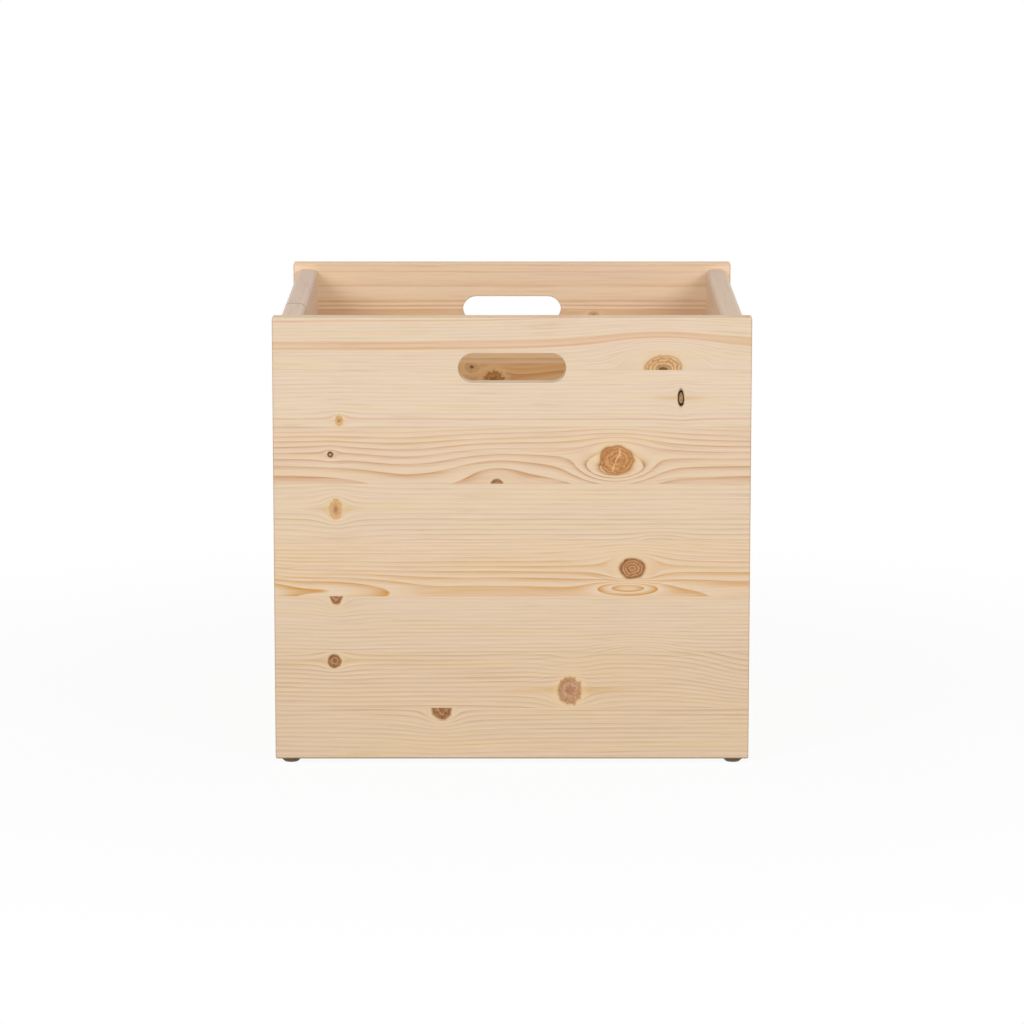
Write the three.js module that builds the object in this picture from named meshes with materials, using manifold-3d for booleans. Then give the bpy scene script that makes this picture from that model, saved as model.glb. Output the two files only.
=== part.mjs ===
// Open-topped book bin in edge-glued pine.
// Two end panels, each with a hand slot, hold two side panels between them on blind dowels.
// A plywood floor sits in grooves all round, and four nail-on feet carry the end panels.
// Millimetres, +Z up. The origin is on the ground under the middle of the bin; the front faces -Y.

import * as THREE from "three";
import { mergeVertices, toCreasedNormals } from "three/addons/utils/BufferGeometryUtils.js";
import Module from "manifold-3d";

const wasm = await Module();
wasm.setup();

// Overall size
const WIDTH = 400; // left edge to right edge of the end panels
const DEPTH = 400; // front face to back face
const PANEL_HEIGHT = 376; // end panels, without the feet
const BOARD = 18; // thickness of the end and side panels

// Staves: the narrow boards that are glued edge to edge into a panel
const STAVES = 8; // staves in each panel
const STAVE_TRIM = 4; // ripped off the outer edge of the top and bottom staves

// End panels
const EASE = 0.8; // rounding of the outer edges and of the hand slot's rim
const EASE_STEPS = 3;
const CORNER_RADIUS = 1.5; // corners of the panel's outline
const CORNER_STEPS = 3;
const SLOT_LENGTH = 90;
const SLOT_HEIGHT = 25;
const SLOT_DROP = 30; // panel's top edge to the slot
const SLOT_STEPS = 12; // facets of each round end

// Side panels
const SIDE_INSET = 4; // end panel's side edge to the side panel's outer face
const SIDE_DROP = 5; // end panel's top edge to the side panel's top
const SIDE_TOP_RADIUS = 5;
const SIDE_TOP_STEPS = 6;
const SIDE_FOOT_EASE = 1; // chamfer along the lower edges

// Finger joint that splices the left side's top stave
const SPLICE_FROM_FRONT = 111; // front panel's inner face to the finger roots
const FINGERS = 5;
const FINGER_LENGTH = 10;
const FINGER_TIP = 0.8; // width of a finger's blunt end
const SPLICE_GAP = 0.6; // glue line, measured along the stave

// Floor and its grooves
const FLOOR_THICKNESS = 9;
const FLOOR_RISE = 12; // lower edge of the panels to the groove
const GROOVE_DEPTH = 7;
const FLOOR_PLAY = 0.3; // floor to the groove's back and roof

// Dowels
const DOWELS_PER_CORNER = 3;
const DOWEL_DIAMETER = 8;
const DOWEL_LENGTH = 35;
const DOWEL_IN_PANEL = 11.5; // length that sits in the end panel
const DOWEL_CHAMFER = 1;
const DOWEL_FLUTES = 12;
const FLUTE_DEPTH = 0.35;
const DOWEL_PLAY = 0.15; // dowel to the wall of its hole
const DOWEL_END_PLAY = 0.5; // dowel to the bottom of its hole
const HOLE_SIDES = 16;

// Nail-on feet
const FOOT_DIAMETER = 16;
const FOOT_SOLE = 1; // plastic under the nail's head
const FOOT_COVER = 1.1; // plastic over the nail's head
const FOOT_CHAMFER = 2; // round the lower rim
const FOOT_SIDES = 32;
const NAIL_DIAMETER = 2;
const NAIL_LENGTH = 14; // above the head
const NAIL_POINT = 3;
const NAIL_HEAD_DIAMETER = 6;
const NAIL_HEAD_HEIGHT = 1;
const NAIL_PLAY = 0.2; // nail to the plastic and to the wall of its hole
const NAIL_SIDES = 12;

// Meshes
const WELD = 1e-4; // vertices closer than this are one
const CREASE_ANGLE = THREE.MathUtils.degToRad(35); // flatter edges are shaded smooth

// Worked out from the sizes above
const STAVE = (PANEL_HEIGHT + 2 * STAVE_TRIM) / STAVES;
const SIDE_HEIGHT = PANEL_HEIGHT - SIDE_DROP;
const SIDE_LENGTH = DEPTH - 2 * BOARD;
const SIDE_MIDDLE = WIDTH / 2 - SIDE_INSET - BOARD / 2; // middle of a side panel's thickness
const INNER_WIDTH = WIDTH - 2 * (SIDE_INSET + BOARD);
const GROOVE_HEIGHT = FLOOR_THICKNESS + FLOOR_PLAY;
const FLOOR_BITE = GROOVE_DEPTH - FLOOR_PLAY; // how far the floor reaches into a groove
const HEAD_FLOOR = FOOT_SOLE + NAIL_PLAY; // lower face of the nail's head above the ground
const HEAD_ROOF = HEAD_FLOOR + NAIL_HEAD_HEIGHT + NAIL_PLAY; // top of the pocket round the head
const FOOT_HEIGHT = HEAD_ROOF + FOOT_COVER;
const NAIL_REACH = HEAD_FLOOR + NAIL_HEAD_HEIGHT + NAIL_LENGTH - FOOT_HEIGHT; // length in the wood
const BEYOND = WIDTH + DEPTH + PANEL_HEIGHT; // longer than anything that a cutter has to clear

const pine = new THREE.MeshStandardMaterial({ color: 0xe4c7a2, roughness: 0.55, metalness: 0 });
const palePine = new THREE.MeshStandardMaterial({ color: 0xd9c2a9, roughness: 0.6, metalness: 0 });
const plywood = new THREE.MeshStandardMaterial({ color: 0xdfc8a6, roughness: 0.6, metalness: 0 });
const beech = new THREE.MeshStandardMaterial({ color: 0xcda67c, roughness: 0.7, metalness: 0 });
const brownPlastic = new THREE.MeshStandardMaterial({ color: 0x4a2c1a, roughness: 0.45, metalness: 0 });
const steel = new THREE.MeshStandardMaterial({ color: 0xa8a8a6, roughness: 0.35, metalness: 1 });

// Solids

function solidOf(geometry) {
  const bare = geometry.clone();
  bare.deleteAttribute("normal");
  bare.deleteAttribute("uv");
  const merged = mergeVertices(bare, WELD);
  return new wasm.Manifold(
    new wasm.Mesh({
      numProp: 3,
      vertProperties: new Float32Array(merged.attributes.position.array),
      triVerts: new Uint32Array(merged.index.array),
    }),
  );
}

function geometryOf(solid) {
  const mesh = solid.getMesh();
  const geometry = new THREE.BufferGeometry();
  geometry.setAttribute("position", new THREE.BufferAttribute(mesh.vertProperties, 3));
  geometry.setIndex(new THREE.BufferAttribute(mesh.triVerts, 1));
  return toCreasedNormals(geometry, CREASE_ANGLE);
}

function meshOf(name, solid, material) {
  const mesh = new THREE.Mesh(geometryOf(solid), material);
  mesh.name = name;
  return mesh;
}

// A box given by its lowest and highest corners.
function block(low, high) {
  const [sizeX, sizeY, sizeZ] = high.map((value, axis) => value - low[axis]);
  const geometry = new THREE.BoxGeometry(sizeX, sizeY, sizeZ);
  geometry.translate(low[0] + sizeX / 2, low[1] + sizeY / 2, low[2] + sizeZ / 2);
  return solidOf(geometry);
}

// A flat outline in X and Y, raised from z = 0.
function prism(points, height) {
  const outline = new THREE.Shape(points);
  return solidOf(new THREE.ExtrudeGeometry(outline, { depth: height, bevelEnabled: false }));
}

// A profile of [radius, height] pairs turned about Z, from the axis round to the axis.
function turned(profile, sides) {
  const points = profile.map(([radius, height]) => new THREE.Vector2(radius, height));
  return solidOf(new THREE.LatheGeometry(points, sides).rotateX(Math.PI / 2));
}

// A faceted hole along Z from z = 0, whose flats clear a round piece of this diameter by this much.
function hole(diameter, play, depth) {
  const radius = (diameter / 2 + play) / Math.cos(Math.PI / HOLE_SIDES);
  return turned([[0, 0], [radius, 0], [radius, depth], [0, depth]], HOLE_SIDES);
}

function arc(centreX, centreY, radius, from, to, steps) {
  return Array.from({ length: steps + 1 }, (_, step) => {
    const angle = from + ((to - from) * step) / steps;
    return new THREE.Vector2(centreX + radius * Math.cos(angle), centreY + radius * Math.sin(angle));
  });
}

// Staves

// Height of the top of a stave above the panel's lower edge; stave 0 is the topmost.
function staveTop(index, panelHeight) {
  return index === 0 ? panelHeight : PANEL_HEIGHT + STAVE_TRIM - index * STAVE;
}

function staveBottom(index) {
  return index === STAVES - 1 ? 0 : PANEL_HEIGHT + STAVE_TRIM - (index + 1) * STAVE;
}

// Cuts a finished panel along its glue lines.
function ripIntoStaves(panel, panelHeight) {
  return Array.from({ length: STAVES }, (_, index) => {
    const low = [-BEYOND, -BEYOND, staveBottom(index)];
    const high = [BEYOND, BEYOND, staveTop(index, panelHeight)];
    return panel.intersect(block(low, high));
  });
}

// The staves that are dowelled, from the topmost to the last one above the floor's groove.
function dowelHeights() {
  return Array.from({ length: DOWELS_PER_CORNER }, (_, index) => {
    const stave = Math.round((index * (STAVES - 2)) / (DOWELS_PER_CORNER - 1));
    return (staveTop(stave, SIDE_HEIGHT) + staveBottom(stave)) / 2;
  });
}

// End panels. Outer face on y = 0, inner face on y = BOARD, lower edge on z = 0.

function endPanelOutline() {
  const side = WIDTH / 2 - CORNER_RADIUS;
  const top = PANEL_HEIGHT - CORNER_RADIUS;
  const quarter = Math.PI / 2;
  const outline = new THREE.Shape([
    ...arc(side, top, CORNER_RADIUS, 0, quarter, CORNER_STEPS),
    ...arc(-side, top, CORNER_RADIUS, quarter, 2 * quarter, CORNER_STEPS),
    ...arc(-side, CORNER_RADIUS, CORNER_RADIUS, 2 * quarter, 3 * quarter, CORNER_STEPS),
    ...arc(side, CORNER_RADIUS, CORNER_RADIUS, 3 * quarter, 4 * quarter, CORNER_STEPS),
  ]);
  const slotRadius = SLOT_HEIGHT / 2;
  const slotMiddle = PANEL_HEIGHT - SLOT_DROP - slotRadius;
  const slotEnd = SLOT_LENGTH / 2 - slotRadius;
  outline.holes.push(
    new THREE.Path([
      ...arc(slotEnd, slotMiddle, slotRadius, -quarter, quarter, SLOT_STEPS),
      ...arc(-slotEnd, slotMiddle, slotRadius, quarter, 3 * quarter, SLOT_STEPS),
    ]),
  );
  return outline;
}

function endPanel() {
  const geometry = new THREE.ExtrudeGeometry(endPanelOutline(), {
    depth: BOARD - 2 * EASE,
    bevelThickness: EASE,
    bevelSize: EASE,
    bevelOffset: -EASE,
    bevelSegments: EASE_STEPS,
  });
  geometry.rotateX(Math.PI / 2).translate(0, BOARD - EASE, 0);
  let panel = solidOf(geometry);

  // The floor's groove stops behind the ends of the side panels.
  const grooveEnd = INNER_WIDTH / 2 + GROOVE_DEPTH;
  const grooveLow = [-grooveEnd, BOARD - GROOVE_DEPTH, FLOOR_RISE];
  const grooveHigh = [grooveEnd, BOARD + BEYOND, FLOOR_RISE + GROOVE_HEIGHT];
  panel = panel.subtract(block(grooveLow, grooveHigh));

  const depth = DOWEL_IN_PANEL + DOWEL_END_PLAY;
  const dowelHole = hole(DOWEL_DIAMETER, DOWEL_PLAY, depth + BOARD).rotate([-90, 0, 0]);
  const nailDepth = NAIL_REACH + NAIL_PLAY + BOARD;
  const nailHole = hole(NAIL_DIAMETER, NAIL_PLAY, nailDepth).translate([0, BOARD / 2, -BOARD]);
  for (const x of [-SIDE_MIDDLE, SIDE_MIDDLE]) {
    for (const z of dowelHeights()) {
      panel = panel.subtract(dowelHole.translate([x, BOARD - depth, z]));
    }
    panel = panel.subtract(nailHole.translate([x, 0, 0]));
  }
  return panel;
}

function endPanelGroup(name) {
  const group = new THREE.Group();
  ripIntoStaves(endPanel(), PANEL_HEIGHT).forEach((stave, index) => {
    group.add(meshOf(`${name}_stave_${index + 1}`, stave, pine));
  });
  return group;
}

// Side panels. Outer face on x = 0, inner face on x = BOARD, middle of the length on y = 0.

function sidePanel() {
  const radius = SIDE_TOP_RADIUS;
  const top = SIDE_HEIGHT - radius;
  const section = [
    new THREE.Vector2(SIDE_FOOT_EASE, 0),
    new THREE.Vector2(BOARD - SIDE_FOOT_EASE, 0),
    new THREE.Vector2(BOARD, SIDE_FOOT_EASE),
    ...arc(BOARD - radius, top, radius, 0, Math.PI / 2, SIDE_TOP_STEPS),
    ...arc(radius, top, radius, Math.PI / 2, Math.PI, SIDE_TOP_STEPS),
    new THREE.Vector2(0, SIDE_FOOT_EASE),
  ];
  let panel = prism(section, SIDE_LENGTH).rotate([90, 0, 0]).translate([0, SIDE_LENGTH / 2, 0]);

  const grooveLow = [BOARD - GROOVE_DEPTH, -BEYOND, FLOOR_RISE];
  const grooveHigh = [BOARD + BEYOND, BEYOND, FLOOR_RISE + GROOVE_HEIGHT];
  panel = panel.subtract(block(grooveLow, grooveHigh));

  const depth = DOWEL_LENGTH - DOWEL_IN_PANEL + DOWEL_END_PLAY;
  const dowelHole = hole(DOWEL_DIAMETER, DOWEL_PLAY, depth + BOARD).rotate([-90, 0, 0]);
  for (const z of dowelHeights()) {
    panel = panel.subtract(dowelHole.translate([BOARD / 2, -SIDE_LENGTH / 2 - BOARD, z]));
    panel = panel.subtract(dowelHole.translate([BOARD / 2, SIDE_LENGTH / 2 - depth, z]));
  }
  return panel;
}

// Points of the finger joint across the board, from the inner face to the outer face.
function fingerLine(start) {
  const pitch = BOARD / FINGERS;
  const flat = FINGER_TIP / 2;
  const points = [];
  for (let finger = FINGERS - 1; finger >= 0; finger--) {
    const left = finger * pitch;
    points.push(new THREE.Vector2(left + pitch - flat, start));
    points.push(new THREE.Vector2(left + pitch / 2 + flat, start + FINGER_LENGTH));
    points.push(new THREE.Vector2(left + pitch / 2 - flat, start + FINGER_LENGTH));
    points.push(new THREE.Vector2(left + flat, start));
  }
  points[0].x = BOARD + BEYOND;
  points[points.length - 1].x = -BEYOND;
  return points;
}

// The two lengths of a stave that is spliced with finger joints.
function splice(stave) {
  const roots = -SIDE_LENGTH / 2 + SPLICE_FROM_FRONT;
  const front = [
    ...fingerLine(roots),
    new THREE.Vector2(-BEYOND, -BEYOND),
    new THREE.Vector2(BOARD + BEYOND, -BEYOND),
  ];
  const rear = [
    ...fingerLine(roots + SPLICE_GAP).reverse(),
    new THREE.Vector2(BOARD + BEYOND, BEYOND),
    new THREE.Vector2(-BEYOND, BEYOND),
  ];
  return {
    front: stave.intersect(prism(front, BEYOND)),
    rear: stave.intersect(prism(rear, BEYOND)),
  };
}

function sidePanelGroup(name, topIsSpliced) {
  const group = new THREE.Group();
  ripIntoStaves(sidePanel(), SIDE_HEIGHT).forEach((stave, index) => {
    const staveName = `${name}_stave_${index + 1}`;
    if (index === 0 && topIsSpliced) {
      const lengths = splice(stave);
      group.add(meshOf(`${staveName}_front_length`, lengths.front, palePine));
      group.add(meshOf(`${staveName}_rear_length`, lengths.rear, palePine));
    } else {
      group.add(meshOf(staveName, stave, palePine));
    }
  });
  return group;
}

// Floor, with its lower face on z = 0.
function floorPanel() {
  const x = INNER_WIDTH / 2 + FLOOR_BITE;
  const y = SIDE_LENGTH / 2 + FLOOR_BITE;
  return block([-x, -y, 0], [x, y, FLOOR_THICKNESS]);
}

// Fluted dowel along Z, from z = 0.
function dowel() {
  const outer = DOWEL_DIAMETER / 2;
  const inner = outer - FLUTE_DEPTH;
  const points = Array.from({ length: 2 * DOWEL_FLUTES }, (_, index) => {
    const angle = (index * Math.PI) / DOWEL_FLUTES;
    const radius = index % 2 === 0 ? outer : inner;
    return new THREE.Vector2(radius * Math.cos(angle), radius * Math.sin(angle));
  });
  const envelope = turned(
    [
      [0, 0],
      [outer - DOWEL_CHAMFER, 0],
      [outer, DOWEL_CHAMFER],
      [outer, DOWEL_LENGTH - DOWEL_CHAMFER],
      [outer - DOWEL_CHAMFER, DOWEL_LENGTH],
      [0, DOWEL_LENGTH],
    ],
    2 * DOWEL_FLUTES,
  );
  return prism(points, DOWEL_LENGTH).intersect(envelope);
}

// Foot about Z, standing on z = 0, moulded round the nail's head.
function foot() {
  const radius = FOOT_DIAMETER / 2;
  const shankHole = NAIL_DIAMETER / 2 + NAIL_PLAY;
  const headHole = NAIL_HEAD_DIAMETER / 2 + NAIL_PLAY;
  return turned(
    [
      [0, 0],
      [radius - FOOT_CHAMFER, 0],
      [radius, FOOT_CHAMFER],
      [radius, FOOT_HEIGHT],
      [shankHole, FOOT_HEIGHT],
      [shankHole, HEAD_ROOF],
      [headHole, HEAD_ROOF],
      [headHole, FOOT_SOLE],
      [0, FOOT_SOLE],
    ],
    FOOT_SIDES,
  );
}

// Nail about Z, point up, with the flat of its head on z = 0.
function nail() {
  const radius = NAIL_DIAMETER / 2;
  const tip = NAIL_HEAD_HEIGHT + NAIL_LENGTH;
  return turned(
    [
      [0, 0],
      [NAIL_HEAD_DIAMETER / 2, 0],
      [NAIL_HEAD_DIAMETER / 2, NAIL_HEAD_HEIGHT],
      [radius, NAIL_HEAD_HEIGHT],
      [radius, tip - NAIL_POINT],
      [0, tip],
    ],
    NAIL_SIDES,
  );
}

// Assembly

const bin = new THREE.Group();
bin.name = "book_bin";

const ends = [
  { name: "front", facing: -1, turn: 0 },
  { name: "back", facing: 1, turn: Math.PI },
];
const sides = [
  { name: "left", facing: -1, turn: 0 },
  { name: "right", facing: 1, turn: Math.PI },
];

for (const end of ends) {
  const panel = endPanelGroup(end.name);
  panel.position.set(0, (end.facing * DEPTH) / 2, FOOT_HEIGHT);
  panel.rotation.z = end.turn;
  bin.add(panel);
}

for (const side of sides) {
  const panel = sidePanelGroup(side.name, side.name === "left");
  panel.position.set(side.facing * (WIDTH / 2 - SIDE_INSET), 0, FOOT_HEIGHT);
  panel.rotation.z = side.turn;
  bin.add(panel);
}

const floor = meshOf("floor_panel", floorPanel(), plywood);
floor.position.z = FOOT_HEIGHT + FLOOR_RISE;
bin.add(floor);

for (const end of ends) {
  for (const side of sides) {
    const corner = new THREE.Group();
    corner.position.set(side.facing * SIDE_MIDDLE, (end.facing * DEPTH) / 2, 0);
    corner.rotation.z = end.turn;

    dowelHeights().forEach((height, index) => {
      const pin = meshOf(`dowel_${end.name}_${side.name}_${index + 1}`, dowel(), beech);
      pin.position.set(0, BOARD - DOWEL_IN_PANEL, FOOT_HEIGHT + height);
      pin.rotation.x = -Math.PI / 2;
      corner.add(pin);
    });

    const pad = meshOf(`foot_${end.name}_${side.name}`, foot(), brownPlastic);
    pad.position.y = BOARD / 2;
    corner.add(pad);

    const tack = meshOf(`foot_nail_${end.name}_${side.name}`, nail(), steel);
    tack.position.set(0, BOARD / 2, HEAD_FLOOR);
    corner.add(tack);

    bin.add(corner);
  }
}

export default bin;
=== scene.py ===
"""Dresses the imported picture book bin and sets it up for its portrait.

The solids keep their CAD shapes. Every stave gets a pine finish with its own growth rings, knots and bands,
the floor is plywood, the feet are moulded plastic, and a plain white studio goes round the bin.
The scene is in metres. The finishes are written in millimetres: along the grain, through the board's
thickness, and down from the top edge of the end panels.
"""

import logging
import random
from dataclasses import dataclass, replace
from enum import Enum
from typing import Any, Dict, Iterator, List, Mapping, Sequence, Tuple, Union

import bpy
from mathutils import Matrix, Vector

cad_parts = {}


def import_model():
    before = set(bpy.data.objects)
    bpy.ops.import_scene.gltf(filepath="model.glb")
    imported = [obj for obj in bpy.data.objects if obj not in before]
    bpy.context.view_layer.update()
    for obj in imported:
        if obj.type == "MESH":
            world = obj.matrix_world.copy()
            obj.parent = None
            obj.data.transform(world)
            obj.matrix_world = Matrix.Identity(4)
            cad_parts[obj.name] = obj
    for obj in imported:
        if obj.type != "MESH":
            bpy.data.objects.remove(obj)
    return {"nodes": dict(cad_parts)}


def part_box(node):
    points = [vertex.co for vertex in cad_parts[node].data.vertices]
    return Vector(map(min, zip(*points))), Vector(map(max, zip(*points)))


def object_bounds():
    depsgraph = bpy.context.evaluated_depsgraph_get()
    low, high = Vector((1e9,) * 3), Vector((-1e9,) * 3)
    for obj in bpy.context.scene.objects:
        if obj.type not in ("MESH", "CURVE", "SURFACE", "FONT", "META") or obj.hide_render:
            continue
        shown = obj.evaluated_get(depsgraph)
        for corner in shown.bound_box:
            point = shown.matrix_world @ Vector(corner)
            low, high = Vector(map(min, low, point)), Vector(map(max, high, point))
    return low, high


frame: Dict[str, Any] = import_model()
CAD_BOX: Tuple[Vector, Vector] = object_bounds()

log = logging.getLogger("book_bin")

MM = 1000.0  # millimetres in a metre
BIN_TOP_MM = CAD_BOX[1].z * MM
BIN_HALF_WIDTH_MM = CAD_BOX[1].x * MM
BIN_HALF_DEPTH_MM = CAD_BOX[1].y * MM
PANEL_FOOT_MM = BIN_TOP_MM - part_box("front_stave_8")[0].z * MM

END_FACING = (0.6, 0.9)  # how squarely a face must meet the grain to be end grain
FIRST_STAVE = "stave_1"

Rgb = Tuple[int, int, int]
Size = Tuple[float, float, float]
Operand = Union["Signal", float]
SocketKey = Union[int, str]


def linear(rgb: Rgb) -> Tuple[float, float, float, float]:
    """Turns a colour as seen on screen into the scene's linear light.

    Args:
        rgb: Red, green and blue from 0 to 255.

    Returns:
        Linear red, green, blue and full opacity.
    """
    shares = [value / 255 for value in rgb]
    light = [s / 12.92 if s <= 0.04045 else ((s + 0.055) / 1.055) ** 2.4 for s in shares]
    return (light[0], light[1], light[2], 1.0)


class Signal:
    """A node socket that takes part in Python expressions."""

    def __init__(self, graph: "Graph", socket: bpy.types.NodeSocket) -> None:
        """Keeps the socket and the graph that its nodes go into."""
        self.graph = graph
        self.socket = socket

    def math(self, operation: str, *others: Operand) -> "Signal":
        """Adds a Math node whose first value is this signal.

        Args:
            operation: The Math node's operation.
            others: The node's remaining values.

        Returns:
            The node's result.
        """
        return self.graph.math(operation, self, *others)

    def __add__(self, other: Operand) -> "Signal":
        """Sum."""
        return self.math("ADD", other)

    __radd__ = __add__

    def __sub__(self, other: Operand) -> "Signal":
        """Difference."""
        return self.math("SUBTRACT", other)

    def __rsub__(self, other: Operand) -> "Signal":
        """Difference from a number on the left."""
        return self.graph.math("SUBTRACT", other, self)

    def __mul__(self, other: Operand) -> "Signal":
        """Product."""
        return self.math("MULTIPLY", other)

    __rmul__ = __mul__

    def __truediv__(self, other: Operand) -> "Signal":
        """Quotient."""
        return self.math("DIVIDE", other)

    def __rtruediv__(self, other: Operand) -> "Signal":
        """Quotient of a number on the left."""
        return self.graph.math("DIVIDE", other, self)

    def __pow__(self, exponent: float) -> "Signal":
        """Power with a fixed exponent."""
        return self.math("POWER", exponent)

    def __neg__(self) -> "Signal":
        """Opposite sign."""
        return self.math("MULTIPLY", -1.0)

    def __abs__(self) -> "Signal":
        """Size without sign."""
        return self.math("ABSOLUTE")

    def root(self) -> "Signal":
        """Square root."""
        return self.math("SQRT")

    def whole(self) -> "Signal":
        """Largest whole number below."""
        return self.math("FLOOR")

    def part(self) -> "Signal":
        """What is left above the whole number."""
        return self.math("FRACT")

    def least(self, other: Operand) -> "Signal":
        """The smaller of two."""
        return self.math("MINIMUM", other)

    def most(self, other: Operand) -> "Signal":
        """The larger of two."""
        return self.math("MAXIMUM", other)

    def bell(self, width: float) -> "Signal":
        """A bell of height 1 round zero.

        Args:
            width: Distance from the middle at which the bell has fallen to about a third.

        Returns:
            The bell's height.
        """
        return (-(self * self) / (width * width)).math("EXPONENT")

    def step(self, low: float, high: float) -> "Signal":
        """A smooth step.

        Args:
            low: Where the step starts, at 0.
            high: Where it ends, at 1; below low for a step that falls.

        Returns:
            The step's height, from 0 to 1.
        """
        if low > high:
            return 1 - self.step(high, low)
        settings = {"interpolation_type": "SMOOTHSTEP"}
        return self.graph.node("ShaderNodeMapRange", settings, {0: self, 1: low, 2: high})


class Graph:
    """The node tree of a material or of the world."""

    def __init__(self, owner: Union[bpy.types.Material, bpy.types.World]) -> None:
        """Empties the owner's node tree."""
        owner.use_nodes = True
        self.owner = owner
        self.tree = owner.node_tree
        self.tree.nodes.clear()

    @classmethod
    def of_material(cls, name: str) -> "Graph":
        """Makes the graph of a new material of this name."""
        return cls(bpy.data.materials.new(name))

    def node(
        self,
        kind: str,
        settings: Mapping[str, Any],
        sockets: Mapping[SocketKey, Any],
        output: SocketKey = 0,
    ) -> Signal:
        """Adds a node.

        Args:
            kind: Blender's name for the node type.
            settings: Attributes of the node, set before its sockets.
            sockets: A value or a signal for each input that isn't left at its default.
            output: Which of the node's outputs to return.

        Returns:
            That output.
        """
        made = self.tree.nodes.new(kind)
        for key, setting in settings.items():
            setattr(made, key, setting)
        for key, value in sockets.items():
            if isinstance(value, Signal):
                self.tree.links.new(value.socket, made.inputs[key])
            else:
                made.inputs[key].default_value = value
        return Signal(self, made.outputs[output])

    def math(self, operation: str, *values: Operand) -> Signal:
        """Adds a Math node for these values."""
        return self.node("ShaderNodeMath", {"operation": operation}, dict(enumerate(values)))

    def vector(self, x: Operand, y: Operand, z: Operand) -> Signal:
        """Joins three values into a vector."""
        return self.node("ShaderNodeCombineXYZ", {}, {0: x, 1: y, 2: z})

    def noise(self, at: Signal, detail: float = 2.0, roughness: float = 0.5) -> Signal:
        """Cloudy noise round zero.

        Args:
            at: Where, in units of the noise's own grain.
            detail: Octaves.
            roughness: How strong each finer octave is.

        Returns:
            A value from about -0.5 to 0.5.
        """
        sockets = {"Vector": at, "Scale": 1.0, "Detail": detail, "Roughness": roughness}
        return self.node("ShaderNodeTexNoise", {}, sockets) - 0.5

    def mix(self, below: Any, above: Any, share: Operand) -> Signal:
        """Lays one colour over another.

        Args:
            below: Signal or linear colour.
            above: Signal or linear colour.
            share: How much of the upper colour shows, from 0 to 1.

        Returns:
            The mixed colour.
        """
        settings = {"data_type": "RGBA", "clamp_factor": True}
        return self.node("ShaderNodeMix", settings, {0: share, 6: below, 7: above}, 2)

    def surface(self, sockets: Mapping[SocketKey, Any]) -> bpy.types.Material:
        """Ends the tree in a Principled shader.

        Args:
            sockets: The shader's inputs.

        Returns:
            The finished material.
        """
        self.close(self.node("ShaderNodeBsdfPrincipled", {}, sockets))
        return self.owner

    def close(self, shader: Signal) -> None:
        """Joins the last shader to the tree's output."""
        kind = "World" if isinstance(self.owner, bpy.types.World) else "Material"
        output = self.tree.nodes.new(f"ShaderNodeOutput{kind}")
        self.tree.links.new(shader.socket, output.inputs["Surface"])

    def seen(self) -> Signal:
        """1 for light that the eye, a mirror or a glass looks along, 0 for light that falls on surfaces."""
        kinds = ("Is Camera Ray", "Is Glossy Ray", "Is Transmission Ray")
        camera, glossy, through = (self.node("ShaderNodeLightPath", {}, {}, kind) for kind in kinds)
        return camera.most(glossy).most(through)

    def bump(self, height: Signal, depth_mm: float) -> Signal:
        """Turns a height from 0 to 1 into a bumped normal.

        Args:
            height: The relief.
            depth_mm: How deep a height of 1 is.

        Returns:
            The normal.
        """
        sockets = {"Strength": 1.0, "Distance": depth_mm / MM, "Height": height}
        return self.node("ShaderNodeBump", {}, sockets)


class GrainAxis(Enum):
    """The row axis that a board's grain runs along."""

    ACROSS = "X"
    DEEP = "Y"


@dataclass(frozen=True)
class Place:
    """Where a point of a board is, in millimetres.

    Attributes:
        graph: The material's graph.
        along: Along the grain, from the middle of the bin.
        through: Through the board's thickness.
        drop: Down from the top edge of the end panels.
        end: 1 on faces that cut across the grain.
    """

    graph: Graph
    along: Signal
    through: Signal
    drop: Signal
    end: Signal

    @classmethod
    def of(cls, graph: Graph, axis: GrainAxis) -> "Place":
        """Reads the place from the board's own coordinates.

        Args:
            graph: The material's graph.
            axis: The way the grain runs.

        Returns:
            The place.
        """
        point = graph.node("ShaderNodeTexCoord", {}, {}, "Object")
        scaled = graph.node("ShaderNodeVectorMath", {"operation": "SCALE"}, {0: point, "Scale": MM})
        x, y, z = (graph.node("ShaderNodeSeparateXYZ", {}, {0: scaled}, i) for i in range(3))
        normal = graph.node("ShaderNodeTexCoord", {}, {}, "Normal")
        first = 0 if axis is GrainAxis.ACROSS else 1
        facing = abs(graph.node("ShaderNodeSeparateXYZ", {}, {0: normal}, first))
        along, through = (x, y) if axis is GrainAxis.ACROSS else (y, x)
        return cls(graph, along, through, BIN_TOP_MM - z, facing.step(*END_FACING))

    def noise(self, size: Size, seed: float, detail: float = 2.0) -> Signal:
        """Noise stretched along the grain.

        Args:
            size: Length, thickness and height of a cloud, in millimetres.
            seed: Picks the stretch of noise.
            detail: Octaves.

        Returns:
            A value from about -0.5 to 0.5.
        """
        along, through, drop = self.along / size[0] + seed, self.through / size[1], self.drop / size[2]
        return self.graph.noise(self.graph.vector(along, through, drop), detail)


@dataclass(frozen=True)
class KnotStyle:
    """How a kind of knot looks.

    Attributes:
        heart: Colour of the wood inside.
        rings: Colour of the knot's own growth rings.
        ring_count: Growth rings from its middle to its rim.
        rim: Colour of the bark line round it.
        rim_share: How strong the bark line is.
        rim_width: Width of the bark line as a share of the knot.
        core: Colour of the spot in the middle.
        core_share: How strong that spot is.
        halo: How strongly the wood round it is tinted.
        rays: How strongly its outline breaks into short radial strokes.
    """

    heart: Rgb
    rings: Rgb
    ring_count: float
    rim: Rgb
    rim_share: float
    rim_width: float
    core: Rgb
    core_share: float
    halo: float
    rays: float


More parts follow.
